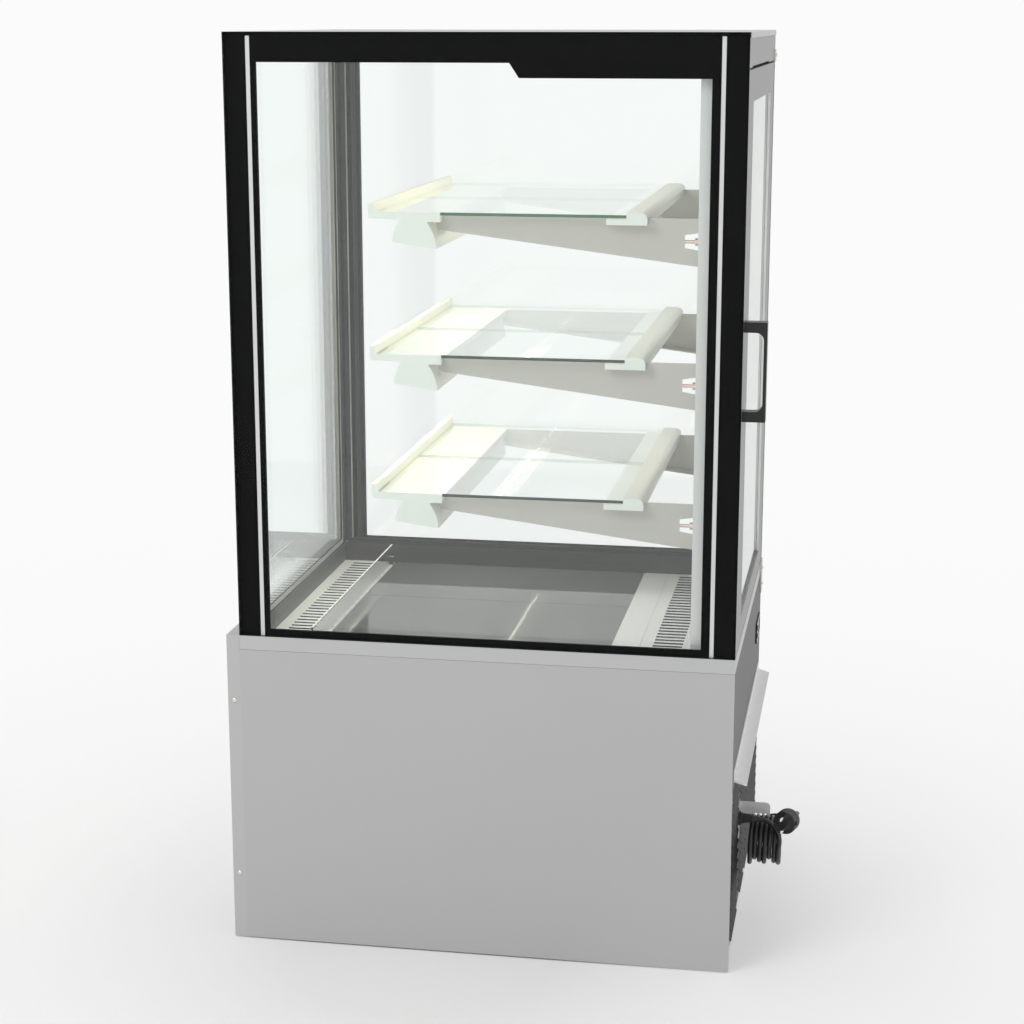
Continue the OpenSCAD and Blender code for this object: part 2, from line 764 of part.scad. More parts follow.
module roof() {
    half = filled_x;
    top = case_height - cap_t - fit;
    step_y = front_y + roof_step_y;
    color("whitesmoke") difference() {
        along_x(-half, 2 * half)
            polygon([[front_y + 4.6, roof_front_z], [step_y, roof_front_z], [step_y + roof_step, roof_rear_z],
                     [door_front_y - 7, roof_rear_z], [door_front_y - 7, lintel_z + 6],
                     [door_front_y, lintel_z], [rear_y, lintel_z], [rear_y, top], [front_y + 4.6, top]]);
        // finger slot over the door
        block([-0.444 * half_len, rear_y - 5, lintel_z - 1], [0.81 * half_len, rear_y + 1, lintel_z + 2]);
    }
}

module roof_cap() {
    half = filled_x;
    color("gainsboro") {
        block([-half, front_y, case_height - cap_t], [half, rear_y + 1.2, case_height]);
        block([-half, rear_y + fit, case_height - 8], [half, rear_y + 1.2, case_height - cap_t]);
    }
}

// ---------------------------------------------------------------- uprights and shelves

module uprights() {
    wall = 1.5;
    z0 = deck_z + 0.3;
    z1 = roof_rear_z - fit;
    first = ceil((z0 + 25 - shelf_first_z - hook_low) / slot_pitch);
    last = floor((z1 - 25 - shelf_first_z - hook_low) / slot_pitch);
    color("silver") both_ends() difference() {
        block([upright_x - upright_w, upright_front_y, z0], [upright_x, upright_front_y + upright_depth, z1]);
        block([upright_x - upright_w + wall, upright_front_y + wall, z0 - 1],
              [upright_x - wall, upright_front_y + upright_depth - wall, z1 + 1]);
        for (z = [for (i = [first : last]) shelf_first_z + hook_low + i * slot_pitch])
            translate([bracket_x, upright_front_y, z])
                block([-0.6, -1, -fit], [bracket_t + 0.6, wall + 1, slot_h - fit]);
    }
}

// Heights below are measured from the top of the shelf glass, depths from the shelf's front edge
upstand_h = 11.8;
upstand_t = 7.7;
plate_end = 107.6;
plate_under = -14;
foot_front = 36;
foot_rear = 102;
neck_front = 47.5;
neck_rear = 87.5;
foot_low_front = -44;
foot_low_rear = -53;
rail_start = shelf_depth - 59.2;
rail_step = shelf_depth - 30;
rail_top = 4;
rail_round = 11;
rail_under = -14;
seat = -shelf_glass_t - 0.1;
bell_steps = 6;

// A flared side: straight at the foot and leaning in towards the neck
function bell(neck, foot, neck_z, foot_z) = [
    for (i = [0 : bell_steps]) let (t = i / bell_steps)
        [neck + (foot - neck) * (1 - (1 - t) * (1 - t)), neck_z + (foot_z - neck_z) * t]
];
function reversed(v) = [for (i = [len(v) - 1 : -1 : 0]) v[i]];

module profile_outline(top) {
    polygon(concat(
        [[0, -9.6], [0, upstand_h], [upstand_t, upstand_h], [upstand_t, top], [plate_end, top],
         [plate_end, plate_under]],
        bell(neck_rear, foot_rear, plate_under, foot_low_rear),
        reversed(bell(neck_front, foot_front, -11.5, foot_low_front))
    ));
}

module rail_outline(top) {
    round_steps = 8;
    polygon(concat(
        [[rail_start, rail_under], [rail_start, top], [rail_step, top], [rail_step, rail_top]],
        [for (i = [0 : round_steps]) let (a = 90 - 90 * i / round_steps)
            [shelf_depth - rail_round + rail_round * cos(a), rail_top - 9 + 9 * sin(a)]],
        [[shelf_depth, rail_under]]
    ));
}

module at_shelf(i) {
    translate([0, front_y + shelf_front_y, shelf_z(i)]) children();
}

module shelf_profile(i) {
    lamp_y0 = 44;
    lamp_y1 = 94;
    color("white") at_shelf(i) along_x(-profile_half, 2 * profile_half) difference() {
        profile_outline(seat);
        polygon([[56, -11], [79, -11], [lamp_y1 - 3, -38], [lamp_y1, -60], [lamp_y0, -60],
                 [lamp_y0 + 2, -34]]);
        translate([20, -7.6]) square([26, 0.9]);
    }
}

module lamps() {
    color("lightyellow") {
        for (i = [0 : shelf_count - 1]) at_shelf(i) along_x(-profile_half + 4, 2 * profile_half - 8)
            polygon([[46.6, -41], [91.5, -47], [92.4, -49], [46.2, -42.8]]);
        block([-inside_x + 20, front_y + roof_step_y - 34, roof_front_z - 9],
              [inside_x - 20, front_y + roof_step_y - 14, roof_front_z - 0.1]);
    }
}

module shelf_rails() {
    color("silver") for (i = [0 : shelf_count - 1])
        at_shelf(i) along_x(-profile_half, 2 * profile_half) rail_outline(seat);
}

module shelf_caps() {
    color("gainsboro") for (i = [0 : shelf_count - 1]) at_shelf(i) both_ends()
        along_x(shelf_half - shelf_cap_t, shelf_cap_t) {
            profile_outline(0);
            rail_outline(-6);
        }
}

module shelf_glass(i) {
    color("lightcyan", 0.4) at_shelf(i) both_ends()
        block([0.4, upstand_t + fit, -shelf_glass_t], [profile_half, rail_step - fit, 0]);
}

// Depth of the bracket's rear edge, and its lower edge there, from the shelf's front edge and glass
reach = upright_front_y - front_y - shelf_front_y - 0.3;
bracket_low = -74;
bracket_slope = 0.124;
notch_y = reach - 21;
notch_z = -38;
hook_low = -65;

module bracket_outline() {
    low_front = bracket_low + bracket_slope * (reach - foot_rear - 1);
    difference() {
        polygon([[foot_rear - 4, plate_under - fit], [plate_end + fit, plate_under - fit],
                 [plate_end + fit, seat - fit], [rail_start - fit, seat - fit],
                 [rail_start - fit, rail_under - fit], [shelf_depth + fit, rail_under - fit],
                 [shelf_depth + fit, seat - fit], [reach, seat - fit], [reach, bracket_low],
                 [foot_rear + 1, low_front], [foot_rear + 0.5, -34]]);
        polygon([[notch_y, notch_z - 9], [reach + 1, notch_z - 13], [reach + 1, notch_z + 13],
                 [notch_y, notch_z + 9.5]]);
    }
    for (z = [hook_low, hook_low + 3 * slot_pitch]) translate([reach - 1, z]) {
        square([5, hook_h]);
        translate([3.2, -hook_drop]) square([1.8, hook_drop + 1]);
    }
}

module brackets(i) {
    flange = 30;
    color("darkkhaki") at_shelf(i) both_ends() {
        along_x(bracket_x, bracket_t) bracket_outline();
        along_x(bracket_x - flange, flange + 0.5) polygon([
            for (p = [[foot_rear + 6, 0], [reach - 2, 0], [reach - 2, 1.5], [foot_rear + 6, 1.5]])
                [p[0], bracket_low + bracket_slope * (reach - p[0]) + p[1]]
        ]);
    }
}

module tilt_screws() {
    color("peru") for (i = [0 : shelf_count - 1]) at_shelf(i) both_ends()
        translate([bracket_x + bracket_t / 2, notch_y + 0.1, notch_z]) rotate([-90, 0, 0]) {
            cylinder(r = 2.5, h = 15, $fn = fine);
            translate([0, 0, 15]) cylinder(r = 5.4, h = reach - notch_y - 15.2, $fn = fine);
        }
}

// ---------------------------------------------------------------- rear door

module stile_section(rounded) {
    inner = door_half - stile_w;
    difference() {
        translate([inner, door_front_y]) square([stile_w, door_t]);
        translate([inner - 1, rear_y - door_reveal - door_glass_t - 0.3])
            square([rebate + 1, door_glass_t + 0.6]);
        if (rounded) difference() {
            translate([door_half - nose_r, rear_y - nose_r]) square(nose_r + 1);
            translate([door_half - nose_r, rear_y - nose_r]) circle(r = nose_r, $fn = fine);
        }
    }
}

module door_stiles() {
    h = door_top_z - door_bottom_z;
    bore_depth = 22;
    color("darkgray") {
        translate([0, 0, door_bottom_z]) linear_extrude(h) stile_section(false);
        difference() {
            translate([0, 0, door_bottom_z]) mirror([1, 0, 0]) linear_extrude(h) stile_section(true);
            for (z = [door_bottom_z - 1, door_top_z - bore_depth + 1])
                translate([pivot_x, pivot_y, z]) cylinder(r = pin_r + shaft_fit, h = bore_depth, $fn = fine);
        }
    }
}

module rail(z0, z1, glass_z0) {
    half = door_half - stile_w - 0.02;
    difference() {
        block([-half, door_front_y, z0], [half, rear_y, z1]);
        translate([0, 0, glass_z0]) block([-half - 1, rear_y - door_reveal - door_glass_t - 0.3, 0],
                                          [half + 1, rear_y - door_reveal + 0.3, rebate + 1]);
    }
}

module door_rails() {
    color("darkgray") {
        rail(door_bottom_z, door_bottom_z + bottom_rail_h, door_bottom_z + bottom_rail_h - rebate);
        rail(door_top_z - top_rail_h, door_top_z, door_top_z - top_rail_h - 1);
    }
}

module door_glass() {
    half = door_half - stile_w + rebate - 1;
    z0 = door_bottom_z + bottom_rail_h - rebate + 1;
    z1 = door_top_z - top_rail_h + rebate - 1;
    y1 = rear_y - door_reveal;
    color("lightcyan", 0.4) {
        block([-half, y1 - 4, z0], [half, y1, z1]);
        block([-half, y1 - door_glass_t, z0], [half, y1 - door_glass_t + 4, z1]);
    }
    color("dimgray") difference() {
        block([-half, y1 - door_glass_t + 4, z0], [half, y1 - 4, z1]);
        block([-half + 10, y1 - door_glass_t, z0 + 10], [half - 10, y1, z1 - 10]);
    }
}

module door_gasket() {
    outer = door_half - 14;
    w = 12;
    depth = 5;
    z0 = door_bottom_z + 4;
    z1 = roof_rear_z - 4;
    color("dimgray") difference() {
        block([-outer, door_front_y - depth, z0], [outer, door_front_y - 0.05, z1]);
        block([-outer + w, door_front_y - depth - 1, z0 + w], [outer - w, door_front_y + 1, z1 - w]);
    }
}

handle_z = base_height + 428;
handle_w = 20;
handle_leg = 15;
handle_bar = 4.6;
handle_corner = 12;

module door_handle() {
    x = door_half - 4 - handle_w;
    inner_h = handle_h - 2 * handle_leg;
    inner_d = handle_reach - handle_bar;
    color("black") along_x(x, handle_w) translate([rear_y + 0.05, handle_z - handle_h / 2]) difference() {
        square([handle_reach - 0.05, handle_h]);
        translate([-1, handle_leg]) square([inner_d - handle_corner + 1, inner_h]);
        translate([0, handle_leg + handle_corner]) square([inner_d, inner_h - 2 * handle_corner]);
        for (z = [handle_leg + handle_corner, handle_h - handle_leg - handle_corner])
            translate([inner_d - handle_corner, z]) circle(r = handle_corner, $fn = fine);
    }
}

// A leaf on the rear face, a leaf under or over the door's end, and the pivot pin
module hinge(z, up, h, screws) {
    leaf = 2;
    translate([0, 0, z]) scale([1, 1, up]) {
        block([-door_half, pivot_y - 9, 0], [-door_half + 34, rear_y + 3, leaf]);
        block([-door_half, rear_y + 0.2, -h], [-door_half + 34, rear_y + 3, leaf]);
        translate([pivot_x, pivot_y, leaf]) cylinder(r = pin_r, h = 18, $fn = fine);
        for (k = screws) translate([-door_half + 17, rear_y + 3, -k]) rotate([-90, 0, 0]) dome_screw(3.6, 2);
    }
}

module hinges() {
    color("peru") {
        hinge(base_height + fit, 1, 54, [12, 40]);
        hinge(lintel_z - fit, -1, 18, [9]);
    }
}

floor_pan();
feet();
corner_posts();
side_panels();
front_panel();
base_rim();
rear_wall();
hood();
louvre_panel();
panel_screws();
controller();
tank_floor();
tank_walls();
evaporator();
fan_plate();
evap_fan(-1);  // evap_fan_1
evap_fan(1);  // evap_fan_2
deck_bearers();
front_grille();
rear_grille();
tray_near();
tray_far();
deflector();
compressor();
condenser();
condenser_fan();
gland();
cord_hook();
cord_tube();
cord_coil();
plug();
end_panes();
inner_panes();
edge_print();
trim_strips();
spacers();
front_panes();
roof();
roof_cap();
uprights();
shelf_glass(0);  // shelf_glass_1
shelf_glass(1);  // shelf_glass_2
shelf_glass(2);  // shelf_glass_3
shelf_profile(0);  // shelf_profile_1
shelf_profile(1);  // shelf_profile_2
shelf_profile(2);  // shelf_profile_3
shelf_rails();
shelf_caps();
brackets(0);  // brackets_1
brackets(1);  // brackets_2
brackets(2);  // brackets_3
lamps();
tilt_screws();
door_stiles();
door_rails();
door_glass();
door_gasket();
door_handle();
hinges();
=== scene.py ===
"""Looks for the refrigerated display case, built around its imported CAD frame."""

import json
import math

import bmesh
import bpy
from mathutils import Matrix, Vector


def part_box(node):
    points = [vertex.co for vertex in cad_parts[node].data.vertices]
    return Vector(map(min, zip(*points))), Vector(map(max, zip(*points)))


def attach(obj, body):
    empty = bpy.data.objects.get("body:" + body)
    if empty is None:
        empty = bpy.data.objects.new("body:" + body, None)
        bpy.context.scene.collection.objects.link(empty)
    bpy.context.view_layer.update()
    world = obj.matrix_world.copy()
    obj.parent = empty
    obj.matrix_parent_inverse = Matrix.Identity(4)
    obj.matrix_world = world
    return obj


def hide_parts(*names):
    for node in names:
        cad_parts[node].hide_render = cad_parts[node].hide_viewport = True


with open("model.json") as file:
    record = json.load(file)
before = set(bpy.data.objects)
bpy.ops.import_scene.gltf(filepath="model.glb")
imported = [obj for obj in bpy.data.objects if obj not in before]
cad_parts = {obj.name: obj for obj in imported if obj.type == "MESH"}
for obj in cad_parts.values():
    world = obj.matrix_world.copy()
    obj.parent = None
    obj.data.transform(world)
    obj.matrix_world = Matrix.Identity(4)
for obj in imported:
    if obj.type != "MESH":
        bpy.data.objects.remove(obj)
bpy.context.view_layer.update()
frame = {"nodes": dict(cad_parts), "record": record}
nodes = frame["nodes"]
scene = bpy.context.scene
MM = 0.001

# ---------------------------------------------------------------- camera

CAMERA_AT = Vector((3.3527, 0.5586, 1.42205))
PITCH, YAW = math.radians(12.99), math.radians(9.99)
LENS, SENSOR = 75.18, 36.0

cam_data = bpy.data.cameras.new("camera")
cam_data.lens = LENS
cam_data.sensor_width = SENSOR
cam_data.clip_end = 200
camera = bpy.data.objects.new("camera", cam_data)
scene.collection.objects.link(camera)
forward = Vector((-math.cos(PITCH) * math.cos(YAW), -math.cos(PITCH) * math.sin(YAW), -math.sin(PITCH)))
right = Vector((-math.sin(YAW), math.cos(YAW), 0))
up = right.cross(forward)
rotation = Matrix((right, up, -forward)).transposed().to_4x4()
camera.matrix_world = Matrix.Translation(CAMERA_AT) @ rotation
scene.camera = camera

# ---------------------------------------------------------------- shader helpers


class Tree:
    """A material's nodes, built from short calls."""

    def __init__(self, name):
        self.material = bpy.data.materials.new(name)
        self.material.use_nodes = True
        self.nt = self.material.node_tree
        self.nt.nodes.clear()
        self.out = self.add("ShaderNodeOutputMaterial")

    def add(self, kind, **inputs):
        node = self.nt.nodes.new(kind)
        for key, value in inputs.items():
            if hasattr(node, key) and key not in node.inputs:
                setattr(node, key, value)
            else:
                self.feed(node.inputs[key.replace("_", " ")], value)
        return node

    def feed(self, socket, value):
        if isinstance(value, bpy.types.NodeSocket):
            self.nt.links.new(value, socket)
        elif hasattr(value, "outputs"):
            self.nt.links.new(value.outputs[0], socket)
        else:
            if socket.type == "RGBA" and len(value) == 3:
                value = (*value, 1)
            socket.default_value = value

    def finish(self, shader):
        self.feed(self.out.inputs["Surface"], shader)
        return self.material

    def place(self):
        return self.add("ShaderNodeTexCoord").outputs["Object"]

    def axes(self, vector):
        """The X, Y and Z outputs of a vector."""
        return self.add("ShaderNodeSeparateXYZ", Vector=vector).outputs

    def normal(self):
        return self.add("ShaderNodeTexCoord").outputs["Normal"]

    def noise(self, scale, detail=2):
        return self.add("ShaderNodeTexNoise", Vector=self.place(), Scale=scale, Detail=detail).outputs["Fac"]

    def ramp(self, fac, low, high, a, b):
        """a where fac is low, b where it is high."""
        span = self.add("ShaderNodeMapRange", Value=fac, From_Min=low, From_Max=high, To_Min=a, To_Max=b)
        return span.outputs["Result"]

    def shade(self, fac, low, high, a, b):
        """The ramp between two colours."""
        node = self.add("ShaderNodeMix", data_type="RGBA")
        self.feed(node.inputs[0], self.ramp(fac, low, high, 0, 1))
        self.feed(node.inputs[6], a)
        self.feed(node.inputs[7], b)
        return node.outputs[2]

    def bump(self, height, strength, distance):
        return self.add("ShaderNodeBump", Height=height, Strength=strength, Distance=distance).outputs["Normal"]

    def math(self, operation, a, b=0.0):
        node = self.add("ShaderNodeMath", operation=operation)
        self.feed(node.inputs[0], a)
        self.feed(node.inputs[1], b)
        return node.outputs[0]

    def mix_value(self, fac, a, b):
        node = self.add("ShaderNodeMix", data_type="FLOAT")
        self.feed(node.inputs[0], fac)
        self.feed(node.inputs[2], a)
        self.feed(node.inputs[3], b)
        return node.outputs[0]

    def mix(self, fac, a, b):
        node = self.add("ShaderNodeMixShader")
        self.feed(node.inputs[0], fac)
        self.feed(node.inputs[1], a)
        self.feed(node.inputs[2], b)
        return node.outputs[0]


PEEL_DEPTH = 0.0003  # metres
COAT_ROUGH = 0.08
PRINT_SHINE = 0.06  # what is left of a pane's mirror over its printed border
ROOF_LAMP_Z = 1.3  # lamps above this height are the roof's


def scaled(colour, k):
    return tuple(min(1, c * k) for c in colour)


def paint(name, colour, rough=0.4, metallic=0.0, peel=0.15, size=900, mottle=0.03, coat=0.0, gloss=0.5,
          inner=None, limit=0.0, x_light_and_shade=None):
    """Sheet, extrusion or moulding: a slightly uneven colour and roughness over a fine surface texture.

    inner is the colour of faces turned towards the middle of the case, as far as limit, which is the product of
    the place and the normal. The colour for faces that look along X is painted shade where it is dark and painted
    light where it is light."""
    t = Tree(name)
    cloud = t.noise(3.0, 3)
    grain = t.noise(size)
    base = t.shade(cloud, 0.3, 0.7, scaled(colour, 1 - mottle), scaled(colour, 1 + mottle))
    # painted light and shade: faces that look along X take their own colour, set by which way a face turns
    if x_light_and_shade:
        base = t.shade(t.math("ABSOLUTE", t.axes(t.normal())["X"]), 0.4, 0.9, base, x_light_and_shade)
    if inner:
        flat = t.add("ShaderNodeVectorMath", operation="MULTIPLY")
        t.feed(flat.inputs[0], t.place())
        t.feed(flat.inputs[1], (1, 1, 0))
        outward = t.add("ShaderNodeVectorMath", operation="DOT_PRODUCT")
        t.feed(outward.inputs[0], flat)
        t.feed(outward.inputs[1], t.normal())
        base = t.shade(outward.outputs["Value"], limit - 0.01, limit + 0.01, inner, base)
    bsdf = t.add("ShaderNodeBsdfPrincipled", Base_Color=base, Metallic=metallic)
    t.feed(bsdf.inputs["Roughness"], t.ramp(grain, 0.3, 0.7, rough * 0.9, rough * 1.1))
    t.feed(bsdf.inputs["Normal"], t.bump(grain, peel, PEEL_DEPTH))
    bsdf.inputs["Specular IOR Level"].default_value = gloss
    bsdf.inputs["Coat Weight"].default_value = coat
    bsdf.inputs["Coat Roughness"].default_value = COAT_ROUGH
    return t.finish(bsdf)


def clear_glass(name, tint, edge_tint, face_axis, window=None, smear=(0.004, 0.02), step=None, solid=(0.45, 0.65),
                lit=0.0, near=0.0, straight=0.027, power=5.0, outer=False):
    """Clear pane: mirrors a little by angle, less over the printed border, and its cut edges are deeper in colour.

    window lists (axis, low, high) of the clear part inside the border, and step is (y, run, drop), where its top
    comes down towards the rear. smear and solid are the ranges of the mirror's roughness and of the edges' cover.
    lit is the strength of a lit top edge. Edges farther back than X = near are fainter and lighter, painted light on
    the far edges. The mirror goes from straight, seen square on, to 1 at a glance, the later the higher the power
    is. With outer only the faces that light enters are mirrors, for a pane that is seen almost edge on."""
    t = Tree(name)
    facing = t.add("ShaderNodeLayerWeight", Blend=0.5).outputs["Facing"]
    mirrored = t.math("ADD", t.math("MULTIPLY", t.math("POWER", facing, power), 1 - straight), straight)
    place = t.axes(t.place())
    if window:
        inside = None
        for axis, low, high in window:
            for test, bound in (("GREATER_THAN", low), ("LESS_THAN", high)):
                one = t.math(test, place[axis], bound)
                inside = one if inside is None else t.math("MULTIPLY", inside, one)
        if step:
            y, run, drop = step
            top = t.ramp(place["Y"], y, y + run, high, high - drop)
            inside = t.math("MULTIPLY", inside, t.math("LESS_THAN", place["Z"], top))
        mirrored = t.math("MULTIPLY", mirrored, t.ramp(inside, 0, 1, PRINT_SHINE, 1.0))
    if outer:
        back = t.add("ShaderNodeNewGeometry").outputs["Backfacing"]
        mirrored = t.math("MULTIPLY", mirrored, t.ramp(back, 0, 1, 1.0, 0.0))
    rough = t.ramp(t.noise(7.0, 3), 0.4, 0.75, *smear)
    mirror = t.add("ShaderNodeBsdfGlossy", Roughness=rough, Color=(0.98, 1.0, 0.99))
    clear = t.add("ShaderNodeBsdfTransparent", Color=tint)
    pane = t.mix(mirrored, clear, mirror)
    normal = t.axes(t.normal())
    edge_on = t.math("LESS_THAN", t.math("ABSOLUTE", normal[face_axis]), 0.5)
    cut = t.add("ShaderNodeBsdfPrincipled", Base_Color=edge_tint, Roughness=0.18)
    cover = t.ramp(t.noise(60.0, 2), 0.3, 0.7, *solid)
    through = edge_tint
    # painted light: cut edges farther back than X = near get less cover and a lighter, clearer colour
    if near:
        cover = t.math("MULTIPLY", cover, t.ramp(place["X"], near, near + 0.02, 0.12, 1.5))
        through = t.shade(place["X"], near, near + 0.02, (0.82, 0.87, 0.84), edge_tint)
    edge = t.mix(cover, t.add("ShaderNodeBsdfTransparent", Color=through), cut)
    if lit:
        beads = t.add("ShaderNodeTexWave", Vector=t.place(), Scale=9.0, bands_direction="X").outputs["Fac"]
        light = t.add("ShaderNodeEmission", Color=(1.0, 0.97, 0.88), Strength=t.ramp(beads, 0, 1, lit * 0.72, lit))
        edge = t.mix(t.math("GREATER_THAN", normal["Z"], 0.5), edge, light)
    return t.finish(t.mix(edge_on, pane, edge))


def glow(name, colour, strength, line, width, roof, body=(0.9, 0.88, 0.8)):
    """Lamps: milky diffusers along X. Those in the shelves are bright in one line, width wide, at Y = line. The
    roof's is even, with the share roof of that strength."""
    t = Tree(name)
    wave = t.add("ShaderNodeTexWave", Vector=t.place(), Scale=18.0, bands_direction="X")
    power = t.ramp(wave.outputs["Fac"], 0.0, 1.0, strength * 0.92, strength * 1.08)
    place = t.axes(t.place())
    off = t.math("ABSOLUTE", t.math("SUBTRACT", place["Y"], line))
    band = t.ramp(off, width * 0.4, width * 0.6, 1.0, 0.05)
    power = t.math("MULTIPLY", power, t.mix_value(t.math("GREATER_THAN", place["Z"], ROOF_LAMP_Z), band, roof))
    light = t.add("ShaderNodeEmission", Color=colour, Strength=power)
    cover = t.add("ShaderNodeBsdfPrincipled", Base_Color=body, Roughness=0.35)
    add = t.add("ShaderNodeAddShader")
    t.feed(add.inputs[0], light)
    t.feed(add.inputs[1], cover)
    return t.finish(add)


# ---------------------------------------------------------------- materials

TINT = (0.994, 0.9985, 0.9965)  # what a surface of the outer panes lets through
SHELF = (0.993, 0.999, 0.995)  # the same for the shelf glass
DARK = (0.035, 0.05, 0.044)  # cut edges
EDGE_COVER = (0.8, 0.95)
WINDOW_Z = ("Z", 0.511, 1.361)
END_WINDOW = (("Y", -0.353, 0.306), WINDOW_Z)
FRONT_WINDOW = (("X", -0.266, 0.266), WINDOW_Z)
STEP = (0.01825, 0.014, 0.021)
SHELF_PANE = dict(smear=(0.002, 0.006), near=0.2, straight=0.08, outer=True)

looks = {
    "base_sheet": paint("base_sheet", (0.46, 0.46, 0.46), 0.42, 0.0, 0.10, 1400, 0.012, coat=0.1),
    # painted shade: rear_sheet is darker than the other sheet metal because the rear side faces away from the light
    "rear_sheet": paint("rear_sheet", (0.165, 0.165, 0.168), 0.5, 0.0, 0.10, 1400, 0.02, gloss=0.08),
    # painted light: hood_sheet is far lighter than the rear panel it is bent from, for the light on its upper faces
    "hood_sheet": paint("hood_sheet", (0.86, 0.86, 0.865), 0.45, 0.0, 0.10, 1400, 0.02, gloss=0.2),
    # louvre_sheet: the louvre panel's own dark grey, darkened further as painted shade from the hood and the mains
    # lead above it
    "louvre_sheet": paint("louvre_sheet", (0.026, 0.0265, 0.028), 0.42, 0.0, 0.08, 1400, 0.05, gloss=0.10),
    "pan_steel": paint("pan_steel", (0.42, 0.43, 0.44), 0.38, 1.0, 0.10, 90, 0.10),
    "foot": paint("foot", (0.03, 0.03, 0.03), 0.55),
    "screw": paint("screw", (0.72, 0.70, 0.68), 0.22, 1.0, 0.05, 500),
    "controller": paint("controller", (0.022, 0.022, 0.025), 0.2, 0.0, 0.03),
    "insulation": paint("insulation", (0.028, 0.028, 0.029), 0.35, 0.0, 0.06, 700),
    "fins": paint("fins", (0.30, 0.31, 0.32), 0.4, 1.0, 0.1, 200, 0.05),
    "fan_black": paint("fan_black", (0.02, 0.02, 0.02), 0.45),
    # painted shade: the grilles' faces that look along X, the walls of their slots, are near black for the shade
    # inside the slots
    "deck_grille": paint("deck_grille", (0.64, 0.65, 0.66), 0.22, 0.2, 0.0, 900, 0.012, x_light_and_shade=(0.02, 0.02, 0.02)),
    # painted light: front_grille is a lighter copy of the grille's grey, making up for the little light its front
    # plate gets
    "front_grille": paint("front_grille", (0.86, 0.87, 0.89), 0.3, 0.1, 0.0, 900, 0.012, x_light_and_shade=(0.02, 0.02, 0.02)),
    "deck_tray": paint("deck_tray", (0.106, 0.110, 0.115), 0.006, 0.0, 0.0, 900, 0.012, gloss=0.15),
    "compressor": paint("compressor", (0.015, 0.015, 0.016), 0.25),
    "cord_black": paint("cord_black", (0.028, 0.028, 0.029), 0.38, 0.0, 0.10, 1500, 0.05),
    "plug": paint("plug", (0.030, 0.030, 0.031), 0.34, 0.0, 0.08, 1500, 0.05),
    "gland": paint("gland", (0.035, 0.035, 0.037), 0.5, gloss=0.3),
    "hook": paint("hook", (0.86, 0.86, 0.865), 0.4),
    "glass": clear_glass("glass", TINT, DARK, "X", END_WINDOW, step=STEP, solid=EDGE_COVER),
    "shelf_glass": clear_glass("shelf_glass", SHELF, (0.030, 0.055, 0.042), "Z", power=3.4, **SHELF_PANE),
    "print": paint("print", (0.006, 0.006, 0.006), 0.25, 0.0, 0.0, 500, 0.03, gloss=0.02,
                   inner=(0.6, 0.6, 0.59), limit=-0.35),
    "strip": paint("strip", (0.66, 0.66, 0.66), 0.3, 0.5, 0.04, 1400, 0.012, inner=(0.012, 0.012, 0.012), limit=0.1),
    "spacer": paint("spacer", (0.03, 0.03, 0.03), 0.4, gloss=0.1, inner=(0.42, 0.42, 0.41), limit=-0.35),
    "roof_panel": paint("roof_panel", (0.36, 0.36, 0.36), 0.45, gloss=0.1),
    "roof_sheet": paint("roof_sheet", (0.46, 0.46, 0.46), 0.3, 0.0, 0.0, 1400, 0.012, gloss=0.1),
    "upright": paint("upright", (0.72, 0.73, 0.72), 0.4),
    "shelf_profile": paint("shelf_profile", (0.90, 0.90, 0.82), 0.34, 0.0, 0.04, 1400, 0.012),
    "shelf_rail": paint("shelf_rail", (0.74, 0.74, 0.67), 0.30, 0.1, 0.04, 1400, 0.012),
    "cap": paint("cap", (0.80, 0.85, 0.79), 0.4),
    "bracket": paint("bracket", (0.52, 0.51, 0.47), 0.4),
    "lamp": glow("lamp", (1.0, 0.94, 0.74), 50.0, -0.1358, 0.006, 0.44),
    "tilt_screw": paint("tilt_screw", (0.80, 0.62, 0.55), 0.25, 0.9),
    # painted light and painted shade: the door frame's faces that look along X are light grey and its other faces
    # dark grey, by how light falls on them
    "door_frame": paint("door_frame", (0.27, 0.27, 0.274), 0.4, 0.2, 0.05, 1400, 0.015, gloss=0.15,
                        x_light_and_shade=(0.76, 0.76, 0.76)),
    "gasket": paint("gasket", (0.06, 0.06, 0.062), 0.55),
    "handle": paint("handle", (0.010, 0.010, 0.010), 0.32, 0.0, 0.05, 1500, gloss=0.35),
    "hinge": paint("hinge", (0.66, 0.62, 0.60), 0.25, 0.9),
    "rim": paint("rim", (0.50, 0.50, 0.50), 0.42, 0.0, 0.06, 1400, 0.012, inner=(0.025, 0.025, 0.025), limit=-0.05),
    "front_sheet": paint("front_sheet", (0.48, 0.48, 0.48), 0.42, 0.0, 0.10, 1400, 0.012, coat=0.1),
    "front_glass": clear_glass("front_glass", TINT, DARK, "Y", FRONT_WINDOW, solid=EDGE_COVER),
    "door_pane": clear_glass("door_pane", (0.998, 1, 0.999), (0.45, 0.46, 0.455), "Y", solid=EDGE_COVER, outer=True),
    # painted light: the top shelf's glass has lighter green cut edges than the lower shelves, for the roof lamp's
    # light on them
    "top_shelf_painted_light": clear_glass("top_shelf_painted_light", SHELF, (0.05, 0.16, 0.08), "Z", power=2.2, **SHELF_PANE),
    "deflector": clear_glass("deflector", TINT, DARK, "Y", solid=EDGE_COVER, lit=1.15, power=3.0),
}
# nodes that don't have the look named after their material slot
by_node = {"shelf_glass_3": "top_shelf_painted_light", "front_panes": "front_glass", "door_glass": "door_pane",
           "deflector": "deflector", "base_rim": "rim", "front_panel": "front_sheet",
           "front_grille": "front_grille"}

for part in frame["record"]["subparts"]:
    if part["node"] in nodes:
        mesh = nodes[part["node"]].data
        look = looks[by_node.get(part["node"], part["material_slot"])]
        mesh.materials.clear()
        mesh.materials.append(look)

# ---------------------------------------------------------------- mains lead

